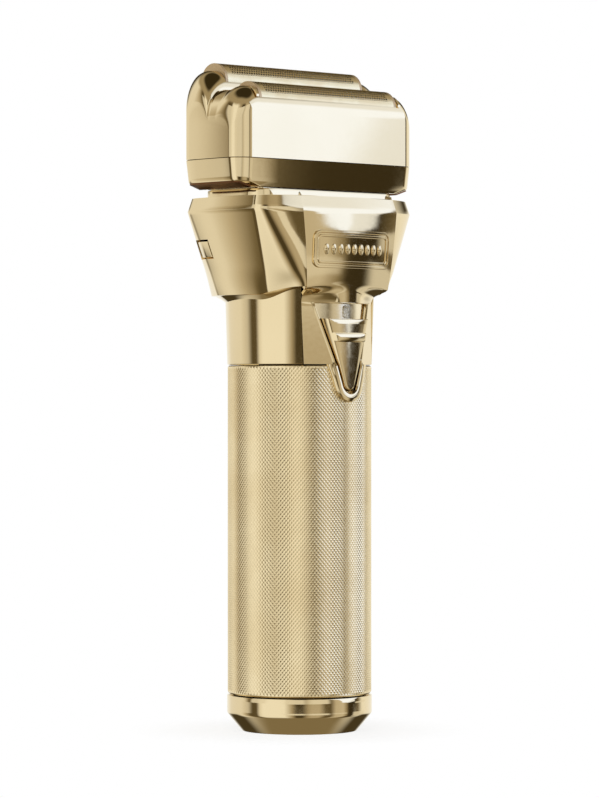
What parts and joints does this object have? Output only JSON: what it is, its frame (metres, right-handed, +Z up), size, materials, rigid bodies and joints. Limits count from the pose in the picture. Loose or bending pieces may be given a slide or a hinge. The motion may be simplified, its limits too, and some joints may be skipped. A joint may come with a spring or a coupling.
{
  "type": "foil shaver",
  "caption": "Cordless foil shaver: two stepped arched foils on a lift-off head, funnel-shaped body, slide switch in a V recess, knurled round grip with a pull-out battery pack.",
  "frame": {"origin": "centre of the base's resting face", "axes": "+Z up along the grip to the foils, X along the foils, -Y the front with the badge and the power switch"},
  "size_m": [0.061, 0.0386, 0.1656],
  "materials": {
    "polished_gold": "polished champagne-gold plating",
    "knurled_gold": "diamond-knurled, gold anodised",
    "foil_metal": "perforated, copper-gold coated",
    "foil_end_plastic": "tan, satin",
    "pale_panel": "metallised",
    "clear_lens": "translucent",
    "dark_rubber": "matt",
    "board_green": "solder-masked",
    "black_plastic": "moulded",
    "pale_plastic": "moulded",
    "bare_steel": "bright",
    "dark_ferrite": "sintered",
    "rotor_iron": "laminated and varnished",
    "contact_brass": "gold-flashed",
    "cell_wrap": "shrink film"
  },
  "bodies": {
    "housing": {"upper_shell": "polished_gold", "front_fascia": "polished_gold", "badge_plate": "polished_gold", "switch_panel": "pale_panel", "indicator_lens": "clear_lens", "neck_collar": "polished_gold", "post_seals": "dark_rubber", "circuit_board": "board_green", "slide_switch": "black_plastic", "motor_can": "bare_steel", "motor_end_bell": "black_plastic", "motor_magnets": "dark_ferrite", "mount_screws": "bare_steel", "drive_guide": "black_plastic", "guide_rods": "bare_steel", "grip_sleeve": "knurled_gold", "grip_liner": "black_plastic", "contact_block": "black_plastic", "spring_contacts": "contact_brass", "left_release_spring": "bare_steel", "right_release_spring": "bare_steel"},
    "battery_pack": {"base_cap": "polished_gold", "charge_contacts": "contact_brass", "cell_case": "black_plastic", "battery_cell": "cell_wrap", "cell_spacers": "black_plastic", "pack_board": "board_green", "pack_terminals": "contact_brass", "pack_seal": "dark_rubber"},
    "motor_rotor": {"rotor_core": "rotor_iron", "commutator": "contact_brass", "motor_shaft": "bare_steel", "eccentric_crank": "black_plastic"},
    "front_drive": {"front_drive_yoke": "pale_plastic", "front_cutter_spring": "bare_steel"},
    "rear_drive": {"rear_drive_yoke": "pale_plastic", "rear_cutter_spring": "bare_steel"},
    "front_cutter": {"front_cutter_comb": "bare_steel", "front_cutter_carrier": "black_plastic"},
    "rear_cutter": {"rear_cutter_comb": "bare_steel", "rear_cutter_carrier": "black_plastic"},
    "foil_head": {"head_cover": "polished_gold", "head_ring": "polished_gold", "foil_bed": "black_plastic", "foil_clips": "polished_gold", "front_foil_springs": "bare_steel", "rear_foil_springs": "bare_steel"},
    "front_foil_unit": {"front_foil": "foil_metal", "front_foil_frame": "foil_end_plastic"},
    "rear_foil_unit": {"rear_foil": "foil_metal", "rear_foil_frame": "foil_end_plastic"},
    "power_switch": {"power_slider": "polished_gold", "slider_actuator": "black_plastic"},
    "left_release": {"left_release_button": "polished_gold"},
    "right_release": {"right_release_button": "polished_gold"}
  },
  "joints": [
    {"name": "battery_slide", "type": "slide", "parent": "housing", "child": "battery_pack", "axis": [0, 0, -1], "range_m": [0, 0.085]},
    {"name": "motor_spin", "type": "hinge", "parent": "housing", "child": "motor_rotor", "pos_m": [0, 0, 0.11], "axis": [0, 0, 1], "continuous": true},
    {"name": "front_drive_slide", "type": "slide", "parent": "housing", "child": "front_drive", "axis": [1, 0, 0], "range_m": [-0.0012, 0.0012]},
    {"name": "rear_drive_slide", "type": "slide", "parent": "housing", "child": "rear_drive", "axis": [1, 0, 0], "range_m": [-0.0012, 0.0012]},
    {"name": "head_lift", "type": "slide", "parent": "housing", "child": "foil_head", "axis": [0, 0, 1], "range_m": [0, 0.032]},
    {"name": "front_foil_float", "type": "slide", "parent": "foil_head", "child": "front_foil_unit", "axis": [0, 0, -1], "range_m": [0, 0.0012], "stiffness_N_per_m": 300, "springref_m": -0.001, "deforming": ["front_foil_springs"]},
    {"name": "rear_foil_float", "type": "slide", "parent": "foil_head", "child": "rear_foil_unit", "axis": [0, 0, -1], "range_m": [0, 0.0012], "stiffness_N_per_m": 300, "springref_m": -0.001, "deforming": ["rear_foil_springs"]},
    {"name": "front_cutter_float", "type": "slide", "parent": "front_drive", "child": "front_cutter", "axis": [0, 0, -1], "range_m": [0, 0.0012], "deforming": ["front_cutter_spring"]},
    {"name": "rear_cutter_float", "type": "slide", "parent": "rear_drive", "child": "rear_cutter", "axis": [0, 0, -1], "range_m": [0, 0.0012], "deforming": ["rear_cutter_spring"]},
    {"name": "power_switch_slide", "type": "slide", "parent": "housing", "child": "power_switch", "axis": [0, 0, 1], "range_m": [0, 0.003]},
    {"name": "left_release_press", "type": "slide", "parent": "housing", "child": "left_release", "axis": [1, 0, 0], "range_m": [0, 0.0012], "stiffness_N_per_m": 500, "springref_m": -0.001, "deforming": ["left_release_spring"]},
    {"name": "right_release_press", "type": "slide", "parent": "housing", "child": "right_release", "axis": [-1, 0, 0], "range_m": [0, 0.0012], "stiffness_N_per_m": 500, "springref_m": -0.001, "deforming": ["right_release_spring"]}
  ],
  "couplings": [
    {"joint": "rear_drive_slide", "follows": "front_drive_slide", "ratio": -1},
    {"joint": "front_cutter_float", "follows": "front_foil_float", "ratio": 1},
    {"joint": "rear_cutter_float", "follows": "rear_foil_float", "ratio": 1}
  ]
}
